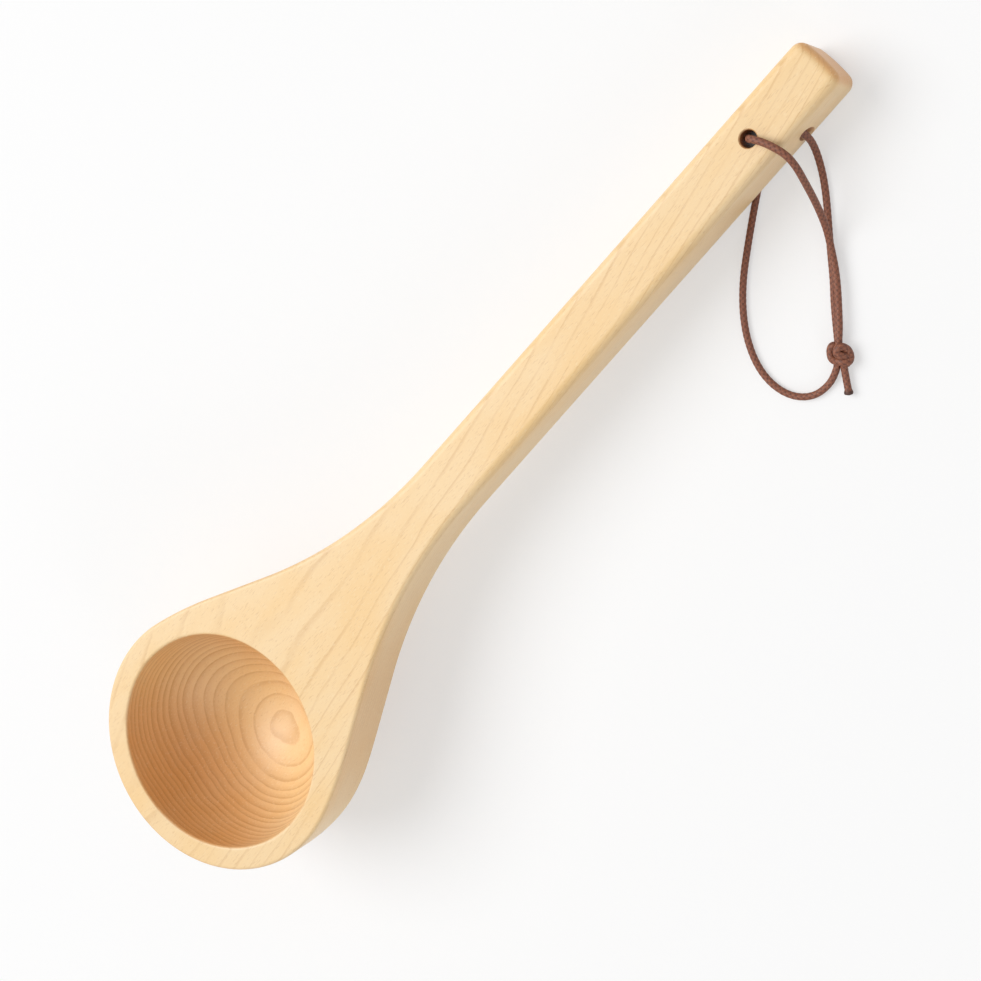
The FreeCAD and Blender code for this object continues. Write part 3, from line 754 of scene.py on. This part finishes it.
# %% Tie the knot
KNOT_STRAND = 2.7
KNOT_RESOLUTION = 24
KNOT_ROUTE = [
    (122.2, -61.1, 1.8), (122.1, -59.8, 2.8), (120.8, -59.6, 2.9), (119.3, -60.7, 2.6),
    (118.2, -62.4, 2.6), (119.1, -64.1, 3.8), (120.6, -65.7, 4.6), (121.4, -67.1, 3.8),
    (122.7, -66.6, 2.7), (123.8, -65.1, 2.7), (124.4, -63.4, 3.8), (123.9, -61.9, 5.2),
    (122.3, -61.7, 5.4), (121.3, -62.7, 5.1), (121.8, -64.2, 5.0), (122.5, -65.3, 3.6),
    (121.3, -66.4, 2.4), (119.6, -67.1, 2.2),
]

knot_line = spline_points("knot_line", KNOT_ROUTE, KNOT_RESOLUTION)
knot, knot_path = braided_tube("knot", knot_line, KNOT_STRAND)
print("knot:", round(length_of(knot_path) / MM, 1), "mm of cord")

# %% [markdown]
# ## A small toolbox for materials
#
# Every finish below is worked out by nodes. A few helpers keep that readable: they add a node, a
# calculation, a smooth change from one range to another, noise, or a mixture of two colours.

# %% Helpers that build node trees
NOISE_ROUGHNESS = 0.55


def add_node(tree, kind, inputs=None, **settings):
    """A new node with its settings, and with a value or another node's output in each input."""
    made = tree.nodes.new(kind)
    for name, value in settings.items():
        setattr(made, name, value)
    for name, value in (inputs or {}).items():
        if isinstance(value, bpy.types.NodeSocket):
            tree.links.new(value, made.inputs[name])
        else:
            made.inputs[name].default_value = value
    return made


def maths(tree, operation, *values):
    """The result of a calculation with one, two or three values."""
    return add_node(tree, "ShaderNodeMath", dict(enumerate(values)), operation=operation).outputs[0]


def times(tree, first, second):
    """The product of two values."""
    return maths(tree, "MULTIPLY", first, second)


def vector_maths(tree, operation, *values):
    """The outputs of a calculation with vectors: the first is a vector, Value is a number."""
    made = add_node(tree, "ShaderNodeVectorMath", dict(enumerate(values)), operation=operation)
    return made.outputs


def place_in_mm(tree, location=(0, 0, 0), turn=0.0):
    """Object coordinates in millimetres, turned about the Y axis and shifted."""
    coordinates = tree.nodes.new("ShaderNodeTexCoord")
    return add_node(tree, "ShaderNodeMapping", {
        "Vector": coordinates.outputs["Object"], "Location": location,
        "Rotation": (0.0, turn, 0.0), "Scale": (1 / MM, 1 / MM, 1 / MM)}).outputs[0]


def ramp(tree, value, start, end, low=0.0, high=1.0):
    """A value mapped smoothly from one range onto another."""
    return add_node(tree, "ShaderNodeMapRange", {
        "Value": value, "From Min": start, "From Max": end, "To Min": low, "To Max": high,
    }, interpolation_type="SMOOTHSTEP").outputs["Result"]


def noise(tree, place, sizes, detail=2.0):
    """Noise whose waves have these sizes in millimetres along x, y and z."""
    scaled = vector_maths(tree, "MULTIPLY", place, [1 / size for size in sizes])[0]
    return add_node(tree, "ShaderNodeTexNoise", {
        "Vector": scaled, "Scale": 1.0, "Detail": detail, "Roughness": NOISE_ROUGHNESS,
    }).outputs["Fac"]


def mix(tree, share, first, second, blend="MIX"):
    """Two colours mixed by a share. A mix node's colours are its inputs 6 and 7 and output 2."""
    return add_node(tree, "ShaderNodeMix", {0: share, 6: first, 7: second},
                    data_type="RGBA", blend_type=blend).outputs[2]


def new_material(name):
    """A new material, its node tree and its main shader."""
    made = bpy.data.materials.new(name)
    made.use_nodes = True
    return made, made.node_tree, made.node_tree.nodes["Principled BSDF"]


def add_bump(tree, shader, height, strength, distance):
    """Relief on a shader's surface: a height of 1 stands for a distance in millimetres."""
    bump = add_node(tree, "ShaderNodeBump", {
        "Height": height, "Strength": strength, "Distance": distance * MM})
    tree.links.new(bump.outputs[0], shader.inputs["Normal"])


def linear(red, green, blue):
    """A colour given as the screen's 0 to 255 values, as the linear values that nodes use.

    linear = ((c + 0.055) / 1.055)^2.4, or c / 12.92 for the darkest colours
    """
    shares = np.array([red, green, blue]) / 255
    values = np.where(shares <= 0.04045, shares / 12.92, ((shares + 0.055) / 1.055) ** 2.4)
    return (*values.tolist(), 1.0)


print("half-way grey, linear:", round(linear(128, 128, 128)[0], 3))

# %% [markdown]
# ## Flecks, in wood and in cord
#
# Pale wood and a waxed cord share one small effect: short flecks that lie along the fibres and
# catch the light. It is built once as a node group. `Place` is a position in millimetres, `Length`
# and `Width` the size of a fleck, and `Amount` how much of the surface has them.

# %% Build the fleck group
NO_FLECKS_ABOVE = 0.85
FLECK_RANGE = 0.5
FLECK_EDGE = 0.12
FLECK_SIZES = {"Length": 4.0, "Width": 0.5, "Amount": 0.4}

flecks = bpy.data.node_groups.new("flecks", "ShaderNodeTree")
flecks.interface.new_socket("Place", in_out="INPUT", socket_type="NodeSocketVector")
for name, value in FLECK_SIZES.items():
    socket = flecks.interface.new_socket(name, in_out="INPUT", socket_type="NodeSocketFloat")
    socket.default_value = value
flecks.interface.new_socket("Mask", in_out="OUTPUT", socket_type="NodeSocketFloat")
group_in = flecks.nodes.new("NodeGroupInput").outputs
group_out = flecks.nodes.new("NodeGroupOutput")
axes = add_node(flecks, "ShaderNodeSeparateXYZ", {0: group_in["Place"]}).outputs
squeezed = add_node(flecks, "ShaderNodeCombineXYZ", {
    number: maths(flecks, "DIVIDE", axes[number], group_in[size])
    for number, size in enumerate(("Length", "Width", "Width"))
}).outputs[0]
spots = add_node(flecks, "ShaderNodeTexNoise", {"Vector": squeezed, "Scale": 1.0, "Detail": 1.0})
covered = times(flecks, group_in["Amount"], FLECK_RANGE)
threshold = maths(flecks, "SUBTRACT", NO_FLECKS_ABOVE, covered)
above = maths(flecks, "SUBTRACT", spots.outputs["Fac"], threshold)
flecks.links.new(ramp(flecks, above, 0.0, FLECK_EDGE), group_out.inputs["Mask"])


def fleck_mask(tree, place, sizes):
    """The mask of a fleck group with these sizes."""
    inputs = {"Place": place, **sizes}
    return add_node(tree, "ShaderNodeGroup", inputs, node_tree=flecks).outputs["Mask"]


print("fleck group:", len(flecks.nodes), "nodes")

# %% [markdown]
# ## The wood
#
# The board was sawn so that the growth rings lie nearly flat in it. Where the turned hollow cuts
# down through them, each ring shows as a loop round the bottom, a few millimetres from the next.
# On the flat face the same rings come out as faint, long, slanting lines. All finishes of the wood
# are worked out in the level ladle's frame and in millimetres, so the material first undoes the tip.

# %% Start the wood material in the level frame
wood, tree, shader = new_material("oiled_wood")
back_shift = Matrix.Rotation(-TILT, 3, "Y") @ Vector(SHIFT)
level = place_in_mm(tree, -back_shift, -TILT)
along, across, height = add_node(tree, "ShaderNodeSeparateXYZ", {0: level}).outputs
print("the level frame is", round(back_shift.length, 1), "mm away")

# %% [markdown]
# ## Growth rings
#
# The rings are one field of depths: mostly the height, tilted a little sideways and more so along
# the handle, and stirred by slow noise. They curve up to both sides, as in a trunk whose heart lay
# above the board, and up along the handle. Good years are added, so that the distances between
# rings change. Each grows from pale spring wood to a darker band, with a thin line at its end.

# %% Lay out the depth in the trunk
RING_TILT = 0.12
HANDLE_RING_TILT = 0.0019
RING_DIP = -0.00022
RING_BEND = -0.0045
RING_STIR, STIR_SIZES = 4.0, (110, 34, 34)
RING_RIPPLE, RIPPLE_SIZES = 0.5, (26, 7, 7)

sideways = maths(tree, "MULTIPLY_ADD", along, HANDLE_RING_TILT, RING_TILT)
tilted = maths(tree, "ADD", height, times(tree, sideways, across))
dip = times(tree, times(tree, along, along), RING_DIP)
bend = times(tree, times(tree, across, across), RING_BEND)
dipped = maths(tree, "ADD", tilted, maths(tree, "ADD", dip, bend))
stir = times(tree, noise(tree, level, STIR_SIZES), RING_STIR)
ripple = times(tree, noise(tree, level, RIPPLE_SIZES), RING_RIPPLE)
depth = maths(tree, "ADD", maths(tree, "ADD", dipped, stir), ripple)
print("depth of the rings:", len(tree.nodes), "nodes")

# %% Divide the depth into years
RING_SPACING = 2.1
RING_START = 0.55
YEAR_CHANGE, YEAR_SIZES = 2.6, (5, 5, 5)
LATE_BAND = (0.15, 0.9)
LATE_LINE = (0.72, 0.92)
RING_CLOSING = (0.93, 1.0)

years = add_node(tree, "ShaderNodeCombineXYZ", {0: 0.0, 1: 0.0, 2: depth}).outputs[0]
good_years = times(tree, noise(tree, years, YEAR_SIZES), YEAR_CHANGE)
ring_number = maths(tree, "DIVIDE", maths(tree, "ADD", depth, good_years), RING_SPACING)
ring_share = maths(tree, "FRACT", maths(tree, "ADD", ring_number, RING_START))
closing = ramp(tree, ring_share, *RING_CLOSING, 1.0, 0.0)
late_band = times(tree, ramp(tree, ring_share, *LATE_BAND), closing)
late_line = times(tree, ramp(tree, ring_share, *LATE_LINE), closing)
print("growth rings:", len(tree.nodes), "nodes, a ring about every", RING_SPACING, "mm")

# %% [markdown]
# ## How the surface cuts the rings
#
# The thin lines show everywhere, in long stretches that come and go. The broad bands show only in
# the turned hollow, and most on its steep sides. The surface's normal in the level frame says how
# flat it lies, and how far it cuts across the fibres.

# %% Measure how the surface faces
HOLLOW_EDGE = (41.0, 44.0)
HOLLOW_TOP = (-0.2, -2.0)

geometry = tree.nodes.new("ShaderNodeNewGeometry")
level_normal = add_node(tree, "ShaderNodeVectorRotate", {
    "Vector": geometry.outputs["Normal"], "Angle": -TILT,
}, rotation_type="Y_AXIS").outputs[0]
facing = add_node(tree, "ShaderNodeSeparateXYZ", {0: level_normal}).outputs
flatness = maths(tree, "ABSOLUTE", facing[2])
cut_across = maths(tree, "ABSOLUTE", facing[0])
plan_place = add_node(tree, "ShaderNodeCombineXYZ", {0: along, 1: across, 2: 0.0}).outputs[0]
from_axis = vector_maths(tree, "LENGTH", plan_place)["Value"]
turned = times(tree, ramp(tree, from_axis, *HOLLOW_EDGE, 1.0, 0.0),
               ramp(tree, height, *HOLLOW_TOP))
print("facing and the hollow's mask:", len(tree.nodes), "nodes")

# %% Set how strongly the rings show
FADING_SIZES = (45, 9, 9)
FADING = (0.36, 0.62, 0.25, 1.0)
LINE_FLATNESS, BAND_FLATNESS = (0.2, 0.9), (0.5, 1.0)
LINE_ON_STEEP, LINE_ON_FLAT = 0.24, 0.32
BAND_ON_STEEP, BAND_ON_FLAT = 0.36, 0.12

fading = ramp(tree, noise(tree, level, FADING_SIZES), *FADING)
line_share = ramp(tree, flatness, *LINE_FLATNESS, LINE_ON_STEEP, LINE_ON_FLAT)
line_mask = times(tree, late_line, times(tree, fading, line_share))
band_share = ramp(tree, flatness, *BAND_FLATNESS, BAND_ON_STEEP, BAND_ON_FLAT)
band_mask = times(tree, late_band, times(tree, turned, band_share))
ring_mask = maths(tree, "ADD", line_mask, band_mask)
print("strengths of the rings:", len(tree.nodes), "nodes")

# %% [markdown]
# ## The colours of the wood
#
# Soft patches of a warmer tone lie under the rings. Wood looks darker where its fibres are cut
# across, at the handle's end and in the hollow. Close up it has pale flecks and dark pores, a few
# tenths of a millimetre wide.

# %% Colour the wood
SPRING_WOOD = linear(247, 215, 166)
LATE_WOOD = linear(204, 154, 94)
WARM_WOOD = linear(246, 208, 150)
CUT_FIBRES = linear(226, 174, 106)
PATCH_SIZES, PATCH_EDGE = (60, 22, 22), (0.35, 0.7)
CUT_RANGE = (0.1, 0.8)
MOST_DARKENING = 0.6
DARKENING_IN_HOLLOW = 0.85

patches = noise(tree, level, PATCH_SIZES, detail=3.0)
body = mix(tree, ramp(tree, patches, *PATCH_EDGE), SPRING_WOOD, WARM_WOOD)
ringed = mix(tree, ring_mask, body, LATE_WOOD)
end_share = times(tree, ramp(tree, cut_across, *CUT_RANGE, 0.0, MOST_DARKENING),
                  ramp(tree, turned, 0.0, 1.0, 1.0, DARKENING_IN_HOLLOW))
darker = mix(tree, end_share, ringed, CUT_FIBRES, blend="MULTIPLY")
print("wood colours:", len(tree.nodes), "nodes")

# %% Strew flecks and pores
PALE_FLECK = linear(252, 228, 188)
DARK_PORE = linear(206, 160, 110)
PALE_SIZES = {"Length": 1.8, "Width": 0.4, "Amount": 0.5}
DARK_SIZES = {"Length": 2.4, "Width": 0.32, "Amount": 0.5}
PALE_SHARE, DARK_SHARE = 0.4, 0.32
PORE_SHIFT = (37.0, 91.0, 53.0)

moved = vector_maths(tree, "ADD", level, PORE_SHIFT)[0]
pale_mask = fleck_mask(tree, level, PALE_SIZES)
pore_mask = fleck_mask(tree, moved, DARK_SIZES)
flecked = mix(tree, times(tree, pale_mask, PALE_SHARE), darker, PALE_FLECK)
pored = mix(tree, times(tree, pore_mask, DARK_SHARE), flecked, DARK_PORE)
print("flecks and pores:", len(tree.nodes), "nodes")

# %% [markdown]
# ## Painted shade in the bores, and a satin surface
#
# The bores' walls are given a darker colour, which is painted shade. A cross product measures how
# far a place is from a bore's axis. Fine fibres change the gloss a little and, with the pores, give a
# faint relief.

# %% Paint shade on the walls of the bores
# The darker colour of the bores' walls is painted shade.
BORE_SHADE = linear(186, 126, 78)
WALL_START, WALL_FADE = 0.02, 0.5
BORE_TOP = (-0.15, -1.2)
SIDE_WALL, SIDE_TOP = (-9.2, -8.2), (-5.2, -6.6)


def near_axis(place, axis, radius):
    """A mask that is 1 within a radius of an axis in the level frame, and fades out just past it."""
    offset = vector_maths(tree, "SUBTRACT", level, place)[0]
    crossed = vector_maths(tree, "CROSS_PRODUCT", offset, axis)[0]
    reach = vector_maths(tree, "LENGTH", crossed)["Value"]
    return ramp(tree, reach, radius + WALL_START, radius + WALL_FADE, 1.0, 0.0)


bore_shade_mask = times(tree, near_axis(BORE_PLACE, (0, 0, 1), BORE_RADIUS),
                ramp(tree, height, *BORE_TOP))
inside_side = times(tree, ramp(tree, across, *SIDE_WALL), ramp(tree, height, *SIDE_TOP))
side_bore_shade_mask = times(tree, near_axis(SIDE_BORE_PLACE, side_axis, SIDE_BORE_RADIUS), inside_side)
# Painted shade: inside both bores the wood is mixed towards the darker colour.
bore_shaded = mix(tree, maths(tree, "MAXIMUM", bore_shade_mask, side_bore_shade_mask), pored, BORE_SHADE)
print("with the bores:", len(tree.nodes), "nodes")

# %% Finish the wood's surface
FIBRE_SIZES, FIBRE_RANGE = (9, 0.35, 0.35), (0.3, 0.7)
GLOSSIEST, DULLEST = 0.34, 0.44
RELIEF_SHARE = 0.5
BUMP_STRENGTH = 0.35
BUMP_HEIGHT = 0.04

fibres = noise(tree, level, FIBRE_SIZES, detail=3.0)
tree.links.new(bore_shaded, shader.inputs["Base Color"])
tree.links.new(ramp(tree, fibres, *FIBRE_RANGE, GLOSSIEST, DULLEST), shader.inputs["Roughness"])
relief = maths(tree, "SUBTRACT", times(tree, fibres, RELIEF_SHARE),
               times(tree, pore_mask, RELIEF_SHARE))
add_bump(tree, shader, relief, BUMP_STRENGTH, BUMP_HEIGHT)
ladle.data.materials.clear()
ladle.data.materials.append(wood)
print("wood material:", len(tree.nodes), "nodes")

# %% [markdown]
# ## The cord's finish
#
# The cord is reddish brown. It is darkest in the gaps between its yarns, which is painted shade, and
# lighter on their crowns, which is painted light, and short pale flecks lie over it. The braid's own
# relief, kept as an attribute when the tube was made, tells the material where it is, and so does
# the char at the melted end.

# %% Colour the cord, with painted shade in the braid's gaps and painted light on its crowns
# The dark colour of the gaps between yarns is painted shade, and the lighter colour of the crowns is
# painted light.
CORD_GAP_SHADE = linear(84, 44, 32)
CORD_CROWN_LIGHT = linear(140, 84, 61)
CORD_FLECK = linear(184, 128, 98)
CORD_CHAR = linear(36, 18, 14)
WAX_SIZES = {"Length": 0.32, "Width": 0.26, "Amount": 0.56}
WAX_SHARE, CHAR_SHARE = 0.5, 0.75
CORD_ROUGHNESS = 0.55
CROWN_RANGE = (0.35, 1.0)

brown, tree, shader = new_material("brown_cord")
shader.inputs["Roughness"].default_value = CORD_ROUGHNESS
relief = add_node(tree, "ShaderNodeAttribute", attribute_name="relief").outputs["Fac"]
char = add_node(tree, "ShaderNodeAttribute", attribute_name="char").outputs["Fac"]
place = place_in_mm(tree)
crowned = mix(tree, ramp(tree, relief, *CROWN_RANGE), CORD_GAP_SHADE, CORD_CROWN_LIGHT)
wax_mask = fleck_mask(tree, place, WAX_SIZES)
flecked = mix(tree, times(tree, wax_mask, WAX_SHARE), crowned, CORD_FLECK)
charred = mix(tree, times(tree, char, CHAR_SHARE), flecked, CORD_CHAR)
tree.links.new(charred, shader.inputs["Base Color"])
print("cord colours:", len(tree.nodes), "nodes")

# %% Roughen the cord and give it to both tubes
FUZZ_SIZES = (0.2, 0.2, 0.2)
FUZZ_STRENGTH = 0.3
FUZZ_HEIGHT = 0.05

add_bump(tree, shader, noise(tree, place, FUZZ_SIZES), FUZZ_STRENGTH, FUZZ_HEIGHT)
for piece in (cord, knot):
    piece.data.materials.append(brown)
print("cord material:", len(tree.nodes), "nodes")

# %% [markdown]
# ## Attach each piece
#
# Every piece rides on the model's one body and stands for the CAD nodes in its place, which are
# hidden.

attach(ladle, "root")
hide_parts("ladle")
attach(knot, "root")
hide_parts("cord_knot")
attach(cord, "root")
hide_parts("cord_side_strand", "cord_loop", "cord_tail")
print("cord declared:", round(length_of(cord_path), 4), "m")

# %% [markdown]
# ## The floor
#
# The floor is plain pale paper that takes the ladle's soft shadow. The background has to look white,
# so for rays that the camera sees, half of the floor's colour is plain white. The light that the
# paper throws back onto the ladle stays its own.

# %% Lay the floor
FLOOR_HALF = 3.0
WHITE_SHARE = 0.5
PAPER = (0.95, 0.95, 0.95, 1)
PAPER_ROUGHNESS = 0.9


def seen_rays(tree):
    """A mask that is 1 for rays from the camera, and for those by way of gloss or glass."""
    ray = tree.nodes.new("ShaderNodeLightPath").outputs
    mirrored = maths(tree, "MAXIMUM", ray["Is Glossy Ray"], ray["Is Transmission Ray"])
    return maths(tree, "MAXIMUM", ray["Is Camera Ray"], mirrored)


floor_mesh = bpy.data.meshes.new("floor")
corners = [(x * FLOOR_HALF, y * FLOOR_HALF, 0) for x, y in ((-1, -1), (1, -1), (1, 1), (-1, 1))]
floor_mesh.from_pydata(corners, [], [(0, 1, 2, 3)])
floor = add_object("floor", floor_mesh)
paper, tree, lit = new_material("white_floor")
lit.inputs["Base Color"].default_value = PAPER
lit.inputs["Roughness"].default_value = PAPER_ROUGHNESS
white = add_node(tree, "ShaderNodeEmission", {"Color": (1, 1, 1, 1), "Strength": 1.0})
shown = add_node(tree, "ShaderNodeMixShader", {
    0: times(tree, seen_rays(tree), WHITE_SHARE), 1: lit.outputs[0], 2: white.outputs[0]})
tree.links.new(shown.outputs[0], tree.nodes["Material Output"].inputs["Surface"])
floor_mesh.materials.append(paper)
print("floor:", 2 * FLOOR_HALF, "m square,", len(tree.nodes), "nodes in its material")

# %% [markdown]
# ## The lights
#
# A large softbox high behind the ladle's left side is the key light, so the hollow's near wall and
# the handle's right-hand side fall into shade. A weaker one on the right fills those in. The world
# gives an even, pale light from all round, and looks white where it is seen directly.

# %% Set up the lights
LAMP_DISTANCE = 5.0
LAMPS = {"key": ((-0.26, 0.52, 0.81), 4.0, 184.0), "fill": ((-0.05, -0.88, 0.47), 1.8, 20.0)}

for name, (towards, width, power) in LAMPS.items():
    light = bpy.data.lights.new(name, "AREA")
    light.shape = "DISK"
    light.size = width
    light.energy = power
    lamp = add_object(name, light)
    lamp.location = Vector(towards).normalized() * LAMP_DISTANCE
    lamp.rotation_euler = Vector(towards).to_track_quat("Z", "Y").to_euler()
    print(name, "light at", [round(value, 2) for value in lamp.location], "with", power, "W")

# %% Light the world
WORLD_LIGHT = 0.42
WORLD_SEEN = 1.0

world = bpy.data.worlds.new("world")
world.use_nodes = True
tree = world.node_tree
sky = tree.nodes["Background"]
sky.inputs["Color"].default_value = (1, 1, 1, 1)
world_strength = ramp(tree, seen_rays(tree), 0.0, 1.0, WORLD_LIGHT, WORLD_SEEN)
tree.links.new(world_strength, sky.inputs["Strength"])
bpy.context.scene.world = world
bpy.context.scene.view_settings.view_transform = "Standard"
print("world:", WORLD_LIGHT, "of light, seen as", WORLD_SEEN)
